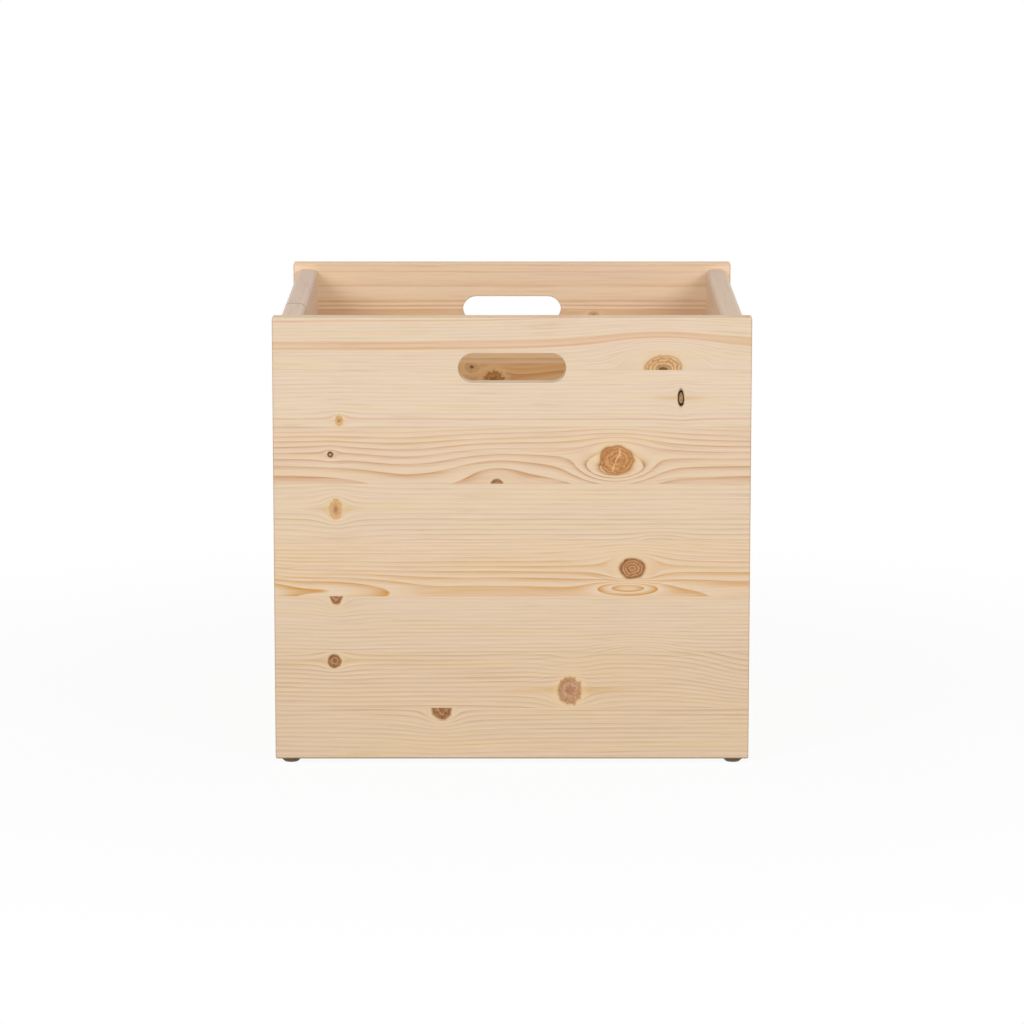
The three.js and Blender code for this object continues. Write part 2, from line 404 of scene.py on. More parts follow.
class KnotKind(Enum):
    """The kinds of knot in these boards."""

    SOUND = KnotStyle(
        heart=(204, 152, 100), rings=(182, 126, 78), ring_count=3.5,
        rim=(152, 98, 60), rim_share=0.5, rim_width=0.08,
        core=(170, 116, 74), core_share=0.5,
        halo=0.5, rays=0.12,
    )
    RINGED = KnotStyle(
        heart=(200, 150, 106), rings=(156, 106, 70), ring_count=4.0,
        rim=(120, 78, 52), rim_share=0.6, rim_width=0.1,
        core=(178, 126, 86), core_share=0.4,
        halo=0.45, rays=0.1,
    )
    TARGET = KnotStyle(
        heart=(222, 184, 138), rings=(186, 140, 94), ring_count=4.5,
        rim=(184, 138, 92), rim_share=0.5, rim_width=0.05,
        core=(104, 66, 36), core_share=0.9,
        halo=0.25, rays=0.08,
    )
    BARK = KnotStyle(
        heart=(184, 148, 108), rings=(140, 106, 74), ring_count=2.0,
        rim=(34, 20, 14), rim_share=1.0, rim_width=0.27,
        core=(170, 136, 100), core_share=0.3,
        halo=0.45, rays=0.0,
    )
    PIN = KnotStyle(
        heart=(186, 152, 118), rings=(140, 104, 76), ring_count=1.0,
        rim=(84, 58, 42), rim_share=0.9, rim_width=0.32,
        core=(190, 160, 126), core_share=0.4,
        halo=0.2, rays=0.0,
    )
    PALE = KnotStyle(
        heart=(216, 176, 128), rings=(198, 156, 108), ring_count=1.6,
        rim=(200, 158, 100), rim_share=0.15, rim_width=0.22,
        core=(158, 116, 80), core_share=0.9,
        halo=0.4, rays=0.85,
    )
    PINK = KnotStyle(
        heart=(200, 160, 128), rings=(180, 138, 106), ring_count=2.2,
        rim=(166, 118, 74), rim_share=0.5, rim_width=0.1,
        core=(160, 116, 88), core_share=0.7,
        halo=0.55, rays=0.75,
    )
    FRAYED = KnotStyle(
        heart=(186, 138, 88), rings=(158, 108, 62), ring_count=2.0,
        rim=(170, 118, 70), rim_share=0.3, rim_width=0.2,
        core=(132, 86, 48), core_share=0.7,
        halo=0.5, rays=1.1,
    )
    DARK = KnotStyle(
        heart=(184, 138, 98), rings=(146, 102, 70), ring_count=2.2,
        rim=(112, 74, 50), rim_share=0.6, rim_width=0.13,
        core=(128, 88, 60), core_share=0.6,
        halo=0.5, rays=0.2,
    )


@dataclass(frozen=True)
class Knot:
    """A branch that the board was cut through.

    Attributes:
        along: Millimetres to the right of the panel's middle.
        drop: Millimetres below the end panels' top edge.
        width: Half its size along the grain.
        height: Half its size across the grain.
        kind: What it looks like.
        push: How far round it the grain is pushed aside, as a multiple of its height.
        tail: Length of the resin streak on each side of it.
        crack: How strongly a pale drying crack shows across it.
        checks: How strongly the growth lines below it are darkened.
    """

    along: float
    drop: float
    width: float
    height: float
    kind: KnotKind
    push: float = 1.02
    tail: float = 0.0
    crack: float = 0.0
    checks: float = 0.0


@dataclass(frozen=True)
class KnotView:
    """Where a point is as seen from a knot's middle.

    Attributes:
        aside: Along the grain, in knot widths.
        below: Across the grain, in knot heights.
        reach: How far out; 1 is the knot's ragged outline.
    """

    aside: Signal
    below: Signal
    reach: Signal


@dataclass(frozen=True)
class Swell:
    """A stretch where the growth rings bulge out of the board or sink into it.

    Attributes:
        along: Middle, to the right of the panel's middle.
        drop: Middle, below the end panels' top edge.
        length: Half its length.
        height: Half its height.
        rings: How many growth rings it bulges by.
    """

    along: float
    drop: float
    length: float
    height: float
    rings: float


@dataclass(frozen=True)
class Band:
    """One bold growth line.

    Attributes:
        drop: Where it runs, below the end panels' top edge.
        width: Half its width.
        share: How strong it is.
    """

    drop: float
    width: float
    share: float


@dataclass(frozen=True)
class PineFigure:
    """The figure of one stave.

    Attributes:
        seed: Picks its stretch of noise.
        early: Colour of the spring wood.
        late: Colour of the growth lines.
        contrast: How strongly the growth lines show at the stave's upper and lower edges.
        gather: How late in the year the late wood gathers; low for broad, soft lines.
        ring: Thickness of a growth ring.
        pith_through: Middle of the tree, behind the panel's front face.
        pith_drop: Middle of the tree, below the stave's middle.
        phase: Share of a growth ring by which the lines are shifted.
        slope: Fall of the grain along the board, as a share.
        wave: How far the grain wanders up and down.
        knots: Branches in the stave.
        swells: Bulges and hollows of the growth rings.
        bands: Bold growth lines.
        stains: Places along the grain where glue has darkened an end joint.
        top_shade: How strongly painted shade greys the stave's top edge.
    """

    seed: float
    early: Rgb = (232, 208, 181)
    late: Rgb = (180, 145, 98)
    contrast: Tuple[float, float] = (0.7, 0.7)
    gather: float = 3.0
    ring: float = 3.0
    pith_through: float = 40.0
    pith_drop: float = 110.0
    phase: float = 0.0
    slope: float = 0.0
    wave: float = 1.2
    knots: Tuple[Knot, ...] = ()
    swells: Tuple[Swell, ...] = ()
    bands: Tuple[Band, ...] = ()
    stains: Tuple[float, ...] = ()
    # strength of the painted shade on the top edge; 0 for none
    top_shade: float = 0.0


@dataclass(frozen=True)
class Pine:
    """Sanded pine under a thin matt lacquer.

    Every noise has its own offset from the figure's seed. Cloud sizes are in millimetres along the grain,
    through the board and down it.

    Attributes:
        figure: The stave's own figure.
        axis: The way its grain runs.
        drops: Where the stave's upper and lower edges are, below the end panels' top edge.
    """

    figure: PineFigure
    axis: GrainAxis
    drops: Tuple[float, float]

    HONEY = linear((230, 202, 160))
    CREAM = linear((238, 217, 191))
    FIBRE = linear((184, 149, 104))
    ROSE = linear((229, 200, 178))
    BAND = linear((208, 144, 78))
    RESIN = linear((208, 164, 94))
    CRACK = linear((236, 200, 152))
    CHECK = linear((156, 104, 66))
    # dark fibre colour, also laid as painted shade on the end panels' rounded side arrises
    DARK_FIBRE_AND_SHADE = linear((150, 112, 80))
    END = linear((214, 180, 142))
    END_LINE = linear((184, 140, 98))
    GLUE = linear((196, 158, 116))
    STAIN = linear((112, 86, 70))
    # colour of the painted shade along the rounded lower arris
    ARRIS_SHADE = linear((128, 112, 76))
    # grey of the painted shade on the rail's top
    TOP_SHADE = linear((188, 178, 172))

    LAZY_BENDS = (240.0, 90.0, 60.0)
    SHORT_BENDS = (60.0, 20.0, 14.0)
    LINE_FADES = (90.0, 16.0, 6.0)
    BAND_FADES = (90.0, 30.0, 30.0)
    TONE_CLOUDS = (150.0, 40.0, 9.0)
    FIBRES = (16.0, 0.7, 0.5)
    STREAKS = (55.0, 2.5, 1.1)
    MOTTLE = (3.2, 3.2, 3.2)
    SPECKLE = (2.4, 2.4, 2.4)

    KNOT_SPREAD = 1.7  # how much further the grain gives way along a knot than above it
    RAG_SIZE = 1.2  # grain of a knot's ragged outline, as a multiple of the knot
    RAG_DEPTH = 0.45
    RAY_DEPTH = 1.1
    TAIL_HEIGHT = 0.28  # height of a resin streak, as a share of the knot
    OUTLINE = (1.06, 0.94)

    EDGE_SHADE_MM = (1.2, 0.3)  # from the side edge, where the painted shade of the rounded arris starts and is full
    JOINT_MM = (0.5, 0.05)  # from the glue line
    STAIN_MM = 1.7
    TOP_SHADE_MM = (4.5, 1.0)  # painted shade on the rail's top, this far below its top edge
    ARRIS_SHADE_RISE_MM = 0.6  # painted shade line, this far above the panels' lower edge
    ARRIS_SHADE_MM = 0.45
    RELIEF_MM = 0.06
    GLOSS = 0.04

    def flow(self, place: Place) -> Signal:
        """Straightens the grain: a point's drop as it was before branches pushed the grain aside."""
        figure = self.figure
        lazy = place.noise(self.LAZY_BENDS, figure.seed, 1.0)
        short = place.noise(self.SHORT_BENDS, figure.seed + 7.0, 1.0)
        flow = place.drop + figure.slope * place.along + 2 * figure.wave * lazy + 0.8 * short
        for knot in figure.knots:
            aside = (place.along - knot.along) * (knot.height / (self.KNOT_SPREAD * knot.width))
            below = place.drop - knot.drop
            reach = (knot.push * knot.height) ** 2
            share = (reach / (aside * aside + below * below + 0.01)).least(1.0)
            flow = flow - below * share
        return flow

    def rings(self, place: Place, flow: Signal) -> Signal:
        """Counts the growth rings out from the middle of the tree.

        Args:
            place: Where the point is.
            flow: The straightened drop.

        Returns:
            The count; each whole number is the end of a year.
        """
        figure = self.figure
        aside = place.through + BIN_HALF_DEPTH_MM - figure.pith_through
        below = flow - (sum(self.drops) / 2 + figure.pith_drop)
        count = (aside * aside + below * below).root() / figure.ring + (10.0 + figure.phase)
        for swell in figure.swells:
            along = (place.along - swell.along).bell(swell.length)
            count = count + swell.rings * (along * (place.drop - swell.drop).bell(swell.height))
        return count

    def late_wood(self, place: Place, count: Signal) -> Signal:
        """Draws the growth lines.

        Args:
            place: Where the point is.
            count: Growth rings from the middle of the tree.

        Returns:
            How much late wood the point holds, from 0 to 1.
        """
        figure = self.figure
        year = count.part()
        sockets = {"W": count.whole() + figure.seed}
        strength = place.graph.node("ShaderNodeTexWhiteNoise", {"noise_dimensions": "1D"}, sockets)
        line = year ** figure.gather * year.step(1.0, 0.92)
        fade = (place.noise(self.LINE_FADES, figure.seed + 3.0) * 2.2 + 0.85).least(1.0).most(0.0)
        return line * (0.6 + 0.4 * strength) * fade

    def wood(self, place: Place, flow: Signal, late: Signal) -> Signal:
        """Colours the plain wood.

        Args:
            place: Where the point is.
            flow: The straightened drop.
            late: How much late wood the point holds.

        Returns:
            The colour, before knots.
        """
        figure = self.figure
        graph = place.graph
        clouds = place.noise(self.TONE_CLOUDS, figure.seed + 5.0)
        along, through, down = self.STREAKS
        grain = graph.vector(place.along / along + figure.seed, place.through / through, flow / down)
        streak = graph.noise(grain)
        colour = graph.mix(linear(figure.early), self.HONEY, 0.1 + 1.3 * clouds)
        colour = graph.mix(colour, self.ROSE, 0.1 - 1.5 * clouds)
        upper, lower = self.drops
        first, last = figure.contrast
        contrast = first + (last - first) * ((place.drop - upper) / (lower - upper))
        colour = graph.mix(colour, linear(figure.late), contrast * late)
        colour = graph.mix(colour, self.FIBRE, 0.35 * streak.step(0.02, 0.3))
        colour = graph.mix(colour, self.CREAM, 0.4 * streak.step(-0.02, -0.3))
        for band in figure.bands:
            line = (flow - band.drop).bell(band.width)
            fade = 0.8 + place.noise(self.BAND_FADES, figure.seed + band.drop)
            colour = graph.mix(colour, self.BAND, band.share * line * fade)
        return colour

    def view_knot(self, place: Place, knot: Knot, index: int) -> KnotView:
        """Measures a point from a knot's middle.

        Args:
            place: Where the point is.
            knot: The knot.
            index: Its place in the stave's list, which picks its ragged outline.

        Returns:
            The point as seen from the knot.
        """
        graph = place.graph
        seed = self.figure.seed + index
        size = self.RAG_SIZE * min(knot.width, knot.height)
        ragged = place.noise((size, size, size), seed + 11.0, 2.0)
        aside = (place.along - knot.along) / knot.width
        below = (place.drop - knot.drop) / knot.height
        reach = (aside * aside + below * below).root() + self.RAG_DEPTH * ragged
        rays = knot.kind.value.rays
        if rays > 0:
            turn = below.math("ARCTAN2", aside)
            stroke = graph.noise(graph.vector(3.0 * turn, 0.8 * reach, seed), 3.0, 0.7)
            reach = reach + self.RAY_DEPTH * rays * stroke
        return KnotView(aside, below, reach)

    def tint_round_knot(self, place: Place, colour: Signal, late: Signal, knot: Knot, view: KnotView) -> Signal:
        """Lays resin, halo and dark growth lines round a knot.

        Args:
            place: Where the point is.
            colour: The wood so far.
            late: How much late wood the point holds.
            knot: The knot.
            view: The point as seen from the knot.

        Returns:
            The tinted wood.
        """
        graph = place.graph
        halo = knot.kind.value.halo
        if knot.tail > 0:
            across = (place.drop - knot.drop).bell(self.TAIL_HEIGHT * knot.height)
            streak = (place.along - knot.along).bell(knot.tail) * across
            colour = graph.mix(colour, self.RESIN, 0.5 * streak)
        colour = graph.mix(colour, self.HONEY, halo * view.reach.step(2.0, 0.95))
        colour = graph.mix(colour, self.RESIN, 0.6 * halo * view.reach.step(1.35, 1.0))
        if knot.checks > 0:
            under = view.below.step(-0.2, 0.4) * view.reach.step(2.8, 1.2)
            colour = graph.mix(colour, self.CHECK, knot.checks * late ** 2.0 * under)
        return colour

    def heart_of_knot(self, place: Place, knot: Knot, view: KnotView) -> Signal:
        """Colours the wood inside a knot.

        Args:
            place: Where the point is.
            knot: The knot.
            view: The point as seen from the knot.

        Returns:
            The colour, with rings, speckles, shading, core and crack.
        """
        graph = place.graph
        style = knot.kind.value
        mottle = place.noise(self.MOTTLE, self.figure.seed + 19.0, 3.0)
        speckle = place.noise(self.SPECKLE, self.figure.seed + 17.0, 2.0)
        year = (view.reach * style.ring_count + 1.4 * mottle).part()
        lines = year.step(0.1, 0.75) * year.step(1.0, 0.8)
        heart = graph.mix(linear(style.heart), linear(style.rings), lines)
        heart = graph.mix(heart, linear(style.rim), 0.8 * speckle.step(0.02, 0.22))
        shaded = (0.5 * (view.aside + view.below) + mottle).step(-0.2, -0.8)
        heart = graph.mix(heart, linear(style.rim), 0.5 * shaded)
        heart = graph.mix(heart, linear(style.core), style.core_share * view.reach.step(0.45, 0.1))
        if knot.crack > 0:
            line = (view.aside + 0.3 * view.below + 0.5 * mottle).bell(0.05)
            heart = graph.mix(heart, self.CRACK, knot.crack * (line * view.reach.step(0.95, 0.7)))
        return heart

    def lay_knot(self, place: Place, colour: Signal, late: Signal, knot: Knot, index: int) -> Signal:
        """Lays a knot over the wood.

        Args:
            place: Where the point is.
            colour: The wood so far.
            late: How much late wood the point holds.
            knot: The knot.
            index: Its place in the stave's list.

        Returns:
            The wood with the knot.
        """
        graph = place.graph
        style = knot.kind.value
        view = self.view_knot(place, knot, index)
        colour = self.tint_round_knot(place, colour, late, knot, view)
        heart = self.heart_of_knot(place, knot, view)
        colour = graph.mix(colour, heart, view.reach.step(*self.OUTLINE))
        bark = (view.reach - 1.0).bell(style.rim_width)
        return graph.mix(colour, linear(style.rim), style.rim_share * bark)

    def age_and_shade_edges(self, place: Place, colour: Signal, sawn: Signal, joint: Signal) -> Signal:
        """Lays painted shade on the side arrises, end grain, glue lines, glue stains, painted shade on the
        rail's top and painted shade along the lower arris over the wood.

        Args:
            place: Where the point is.
            colour: The wood so far.
            sawn: Colour of the end grain.
            joint: 1 on the glue lines between staves.

        Returns:
            The finished colour.
        """
        graph = place.graph
        # painted shade: the end panels' rounded side arrises are darkened in the colour
        start, full = self.EDGE_SHADE_MM
        scuff_and_edge_shade = abs(place.along).step(BIN_HALF_WIDTH_MM - start, BIN_HALF_WIDTH_MM - full)
        colour = graph.mix(colour, self.DARK_FIBRE_AND_SHADE, 0.4 * scuff_and_edge_shade)
        colour = graph.mix(colour, sawn, place.end)
        colour = graph.mix(colour, self.GLUE, 0.25 * joint)
        for stain in self.figure.stains:
            colour = graph.mix(colour, self.STAIN, 0.95 * (place.along - stain).bell(self.STAIN_MM))
        # painted shade: the rail's rounded top is greyed as if lit less
        if self.figure.top_shade > 0:
            top_shade_mask = (place.drop - self.drops[0]).step(*self.TOP_SHADE_MM)
            colour = graph.mix(colour, self.TOP_SHADE, self.figure.top_shade * top_shade_mask)
        # painted shade: a dark line along the end panels' lower arris
        arris_shade = (place.drop - (PANEL_FOOT_MM - self.ARRIS_SHADE_RISE_MM)).bell(self.ARRIS_SHADE_MM)
        return graph.mix(colour, self.ARRIS_SHADE, 0.9 * arris_shade)

    def material(self, name: str) -> bpy.types.Material:
        """Makes the stave's material.

        Args:
            name: Name of the material.

        Returns:
            The material.
        """
        figure = self.figure
        upper, lower = self.drops
        graph = Graph.of_material(name)
        place = Place.of(graph, self.axis)
        flow = self.flow(place)
        late = self.late_wood(place, self.rings(place, flow))
        fibre = place.noise(self.FIBRES, figure.seed + 9.0)
        joint = (place.drop - upper).least(lower - place.drop).step(*self.JOINT_MM)

        colour = graph.mix(self.wood(place, flow, late), self.DARK_FIBRE_AND_SHADE, 0.03 + 0.12 * fibre)
        for index, knot in enumerate(figure.knots):
            colour = self.lay_knot(place, colour, late, knot, index)
        sawn = graph.mix(self.END, self.END_LINE, 0.75 * late + 0.5 * fibre)
        relief = 0.55 * fibre + 0.35 * late - 0.6 * joint
        return graph.surface(
            {
                "Base Color": self.age_and_shade_edges(place, colour, sawn, joint),
                "Roughness": 0.52 - 0.08 * late + 0.1 * fibre + 0.2 * place.end,
                "Specular IOR Level": self.GLOSS,
                "Normal": graph.bump(relief, self.RELIEF_MM),
            }
        )


@dataclass(frozen=True)
class Plywood:
    """A birch face veneer, sanded.

    Attributes:
        face: Colour of the veneer.
        line: Colour of its growth lines.
        fibre: Colour of its dark fibres.
        seed: Picks its stretch of noise.
    """

    face: Rgb = (226, 202, 168)
    line: Rgb = (204, 172, 132)
    fibre: Rgb = (150, 112, 76)
    seed: float = 4.0

    LOOPS = (260.0, 34.0, 40.0)
    LOOP_COUNT = 14.0
    FIBRES = (14.0, 0.6, 0.6)

    def material(self, name: str) -> bpy.types.Material:
        """Makes the floor's material.

        Args:
            name: Name of the material.

        Returns:
            The material.
        """
        graph = Graph.of_material(name)
        place = Place.of(graph, GrainAxis.DEEP)
        lines = (self.LOOP_COUNT * place.noise(self.LOOPS, self.seed, 1.0)).part()
        fibre = place.noise(self.FIBRES, self.seed + 2.0)
        colour = graph.mix(linear(self.face), linear(self.line), 0.55 * lines.step(0.3, 0.95))
        return graph.surface(
            {
                "Base Color": graph.mix(colour, linear(self.fibre), 0.05 + 0.2 * fibre),
                "Roughness": 0.55 + 0.12 * fibre,
                "Specular IOR Level": 0.35,
                "Normal": graph.bump(fibre, 0.05),
            }
        )


@dataclass(frozen=True)
class Beech:
    """Raw turned beech with short dark flecks.

    Attributes:
        pale: Colour of the pale fibres.
        deep: Colour of the deep fibres.
        fleck: Colour of the flecks.
        seed: Picks its stretch of noise.
    """

    pale: Rgb = (214, 174, 132)
    deep: Rgb = (184, 136, 92)
    fleck: Rgb = (140, 92, 58)
    seed: float = 9.0

    FLECKS = (3.0, 0.3, 0.3)
    FIBRES = (18.0, 0.5, 0.5)

    def material(self, name: str) -> bpy.types.Material:
        """Makes the dowels' material.

        Args:
            name: Name of the material.

        Returns:
            The material.
        """
        graph = Graph.of_material(name)
        place = Place.of(graph, GrainAxis.DEEP)
        fleck = place.noise(self.FLECKS, self.seed, 1.0).step(0.1, 0.3)
        fibre = place.noise(self.FIBRES, self.seed + 1.0)
        colour = graph.mix(linear(self.pale), linear(self.deep), 0.4 + 0.8 * fibre)
        return graph.surface(
            {
                "Base Color": graph.mix(colour, linear(self.fleck), 0.6 * fleck),
                "Roughness": 0.7 + 0.1 * fibre,
                "Specular IOR Level": 0.3,
                "Normal": graph.bump(fibre, 0.05),
            }
        )


@dataclass(frozen=True)
class MouldedPlastic:
    """Dark brown plastic, scuffed pale on the rim that it stands on.

    Attributes:
        body: Colour of the plastic.
        scuff: Colour where it is scuffed.
        scuff_mm: Height above the ground at which the scuffing starts and is full.
    """

    body: Rgb = (84, 55, 37)
    scuff: Rgb = (126, 94, 70)
    scuff_mm: Tuple[float, float] = (0.9, 0.1)

    GRAIN = (0.5, 0.5, 0.5)
    BLOTCH = (4.0, 4.0, 4.0)

    def material(self, name: str) -> bpy.types.Material:
        """Makes the feet's material.

        Args:
            name: Name of the material.

        Returns:
            The material.
        """
        graph = Graph.of_material(name)
        place = Place.of(graph, GrainAxis.ACROSS)
        grain = place.noise(self.GRAIN, 2.0)
        blotch = place.noise(self.BLOTCH, 3.0)
        scuff_and_edge_shade = (BIN_TOP_MM - place.drop).step(*self.scuff_mm) * (blotch + 0.5)
        colour = graph.mix(linear(self.body), linear(self.scuff), 0.15 + 0.3 * blotch)
        return graph.surface(
            {
                "Base Color": graph.mix(colour, linear(self.scuff), 0.8 * scuff_and_edge_shade),
                "Roughness": 0.42 + 0.25 * scuff_and_edge_shade + 0.15 * grain,
                "Normal": graph.bump(grain, 0.04),
            }
        )


@dataclass(frozen=True)
class DrawnSteel:
    """Bright drawn wire with lengthwise scratches.

    Attributes:
        colour: Colour of the bright steel.
        tarnish: Colour where it is dull.
    """

    colour: Rgb = (176, 174, 170)
    tarnish: Rgb = (120, 112, 104)

    SCRATCHES = (0.15, 0.15, 4.0)
    DULLNESS = (1.5, 1.5, 1.5)

    def material(self, name: str) -> bpy.types.Material:
        """Makes the nails' material.

        Args:
            name: Name of the material.

        Returns:
            The material.
        """
        graph = Graph.of_material(name)
        place = Place.of(graph, GrainAxis.ACROSS)
        scratch = place.noise(self.SCRATCHES, 5.0)
        dull = place.noise(self.DULLNESS, 6.0)
        return graph.surface(
            {
                "Base Color": graph.mix(linear(self.colour), linear(self.tarnish), 0.3 + dull),
                "Roughness": 0.35 + 0.3 * scratch,
                "Metallic": 1.0,
                "Normal": graph.bump(scratch, 0.01),
            }
        )


def dress(node: str, material: bpy.types.Material, slot: str) -> None:
    """Gives a CAD node its finish.

    Args:
        node: The node's name.
        material: The finish.
        slot: The record's material slot.
    """
    piece = frame["nodes"][node]
    piece.data.materials.clear()
    piece.data.materials.append(material)
    log.info("dressed %s as %s", node, slot)


def stave_drops(node: str) -> Tuple[float, float]:
    """Upper and lower edge of a stave, in millimetres below the end panels' top edge.

    Args:
        node: The stave's node.

    Returns:
        The two drops.
    """
    low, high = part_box(node)
    return (BIN_TOP_MM - high.z * MM, BIN_TOP_MM - low.z * MM)


FRONT_FIGURES: Tuple[PineFigure, ...] = (
    PineFigure(
        seed=1.0,
        early=(226, 205, 181),
        contrast=(0.33, 0.33),
        ring=2.7,
        wave=0.6,
        knots=(Knot(126.0, 44.0, 15.5, 12.6, KnotKind.TARGET, push=1.35),),
        bands=(Band(22.0, 1.1, 0.6), Band(26.2, 1.2, 0.6), Band(24.1, 1.4, 0.25), Band(3.6, 0.7, 0.4)),
    ),
    PineFigure(
        seed=2.0,
        early=(227, 207, 183),
        contrast=(0.3, 0.38),
        ring=3.3,
        knots=(
            Knot(141.0, 67.6, 2.3, 6.1, KnotKind.BARK, push=0.8, tail=22.0),
            Knot(-144.5, 86.8, 3.2, 4.2, KnotKind.PALE, tail=8.0),
        ),
        bands=(Band(85.3, 0.7, 0.4),),
    ),
    PineFigure(
        seed=3.0,
        early=(226, 202, 175),
        late=(184, 120, 50),
        contrast=(0.55, 1.4),
        gather=3.0,
        ring=3.0,
        pith_drop=29.0,
        phase=0.05,
        wave=0.8,
        knots=(
            Knot(87.5, 120.0, 14.0, 12.0, KnotKind.SOUND, push=1.08, crack=0.8, checks=2.4),
            Knot(-152.0, 115.3, 2.0, 2.0, KnotKind.PIN, push=1.6),
            Knot(-12.9, 141.0, 5.0, 4.6, KnotKind.DARK, push=2.2),
        ),
        swells=(Swell(-85.0, 128.0, 46.0, 30.0, 0.95), Swell(85.0, 125.5, 28.0, 15.0, 2.7)),
    ),
    PineFigure(
        seed=4.0,
        early=(226, 204, 177),
        late=(178, 142, 84),
        contrast=(0.3, 0.75),
        ring=3.9,
        pith_drop=90.0,
        wave=0.8,
        knots=(Knot(-147.8, 161.7, 5.2, 8.2, KnotKind.PALE, tail=16.0),),
        swells=(Swell(124.0, 191.0, 21.0, 9.0, -1.7),),
    ),
    PineFigure(
        seed=5.0,
        early=(226, 203, 174),
        late=(206, 148, 72),
        contrast=(0.35, 1.6),
        gather=1.8,
        ring=2.2,
        pith_drop=24.0,
        phase=0.3,
        wave=0.5,
        knots=(Knot(101.0, 212.0, 10.2, 8.4, KnotKind.RINGED, push=1.2),),
        swells=(
            Swell(-215.0, 236.0, 26.0, 26.0, -2.1),
            Swell(-160.0, 229.0, 60.0, 13.0, -1.7),
            Swell(-72.0, 234.0, 26.0, 14.0, 0.22),
            Swell(98.0, 228.0, 25.5, 6.0, -3.2),
            Swell(195.0, 236.0, 40.0, 18.0, 0.8),
        ),
    ),
    PineFigure(
        seed=6.0,
        early=(223, 200, 173),
        contrast=(0.28, 0.75),
        ring=3.0,
        pith_drop=100.0,
        wave=1.4,
        knots=(Knot(-147.8, 235.2, 5.0, 7.6, KnotKind.DARK),),
        swells=(Swell(106.0, 288.0, 30.0, 14.0, -3.2),),
    ),
    PineFigure(
        seed=7.0,
        early=(221, 197, 168),
        late=(176, 137, 88),
        contrast=(0.78, 0.6),
        gather=2.5,
        ring=3.4,
        pith_drop=80.0,
        wave=1.0,
        knots=(
            Knot(-149.5, 291.6, 5.4, 5.4, KnotKind.DARK, tail=26.0),
            Knot(48.8, 316.9, 9.2, 11.0, KnotKind.PINK, push=0.9, tail=44.0),
        ),
        swells=(Swell(50.0, 300.0, 24.0, 18.0, 2.0), Swell(205.0, 300.0, 45.0, 30.0, 3.4)),
    ),
    PineFigure(
        seed=8.0,
        early=(220, 197, 168),
        contrast=(0.95, 0.48),
        ring=3.7,
        wave=0.8,
        knots=(Knot(-59.5, 331.0, 7.7, 10.6, KnotKind.DARK),),
    ),
)

BACK_FIGURES: Tuple[PineFigure, ...] = (
    PineFigure(
        seed=21.0,
        # painted light: this top stave's spring wood is lightened to offset the shade inside the bin
        early=(245, 218, 187),
        late=(206, 150, 96),
        contrast=(0.45, 0.85),
        gather=4.0,
        ring=2.8,
        pith_drop=-60.0,
        bands=(Band(38.6, 0.9, 0.6), Band(42.6, 0.9, 0.7), Band(34.3, 0.7, 0.4), Band(7.4, 0.6, 0.35)),
        wave=0.8,
    ),
    PineFigure(
        seed=22.0,
        early=(228, 188, 142),
        contrast=(0.8, 0.8),
        knots=(Knot(75.0, 47.2, 5.0, 3.0, KnotKind.PALE),),
    ),
    PineFigure(
        seed=23.0,
        # painted shade: this stave is darkened and warmed to look shaded where the hand slot shows it inside
        # the bin
        early=(216, 172, 116),
        late=(186, 122, 66),
        contrast=(0.9, 0.9),
        slope=0.12,
        knots=(
            Knot(-37.0, 95.5, 6.0, 5.2, KnotKind.TARGET, tail=8.0),
            Knot(-17.0, 107.5, 9.0, 8.5, KnotKind.FRAYED),
        ),
        bands=(Band(101.0, 1.6, 0.6), Band(106.0, 1.2, 0.4)),
    ),
)


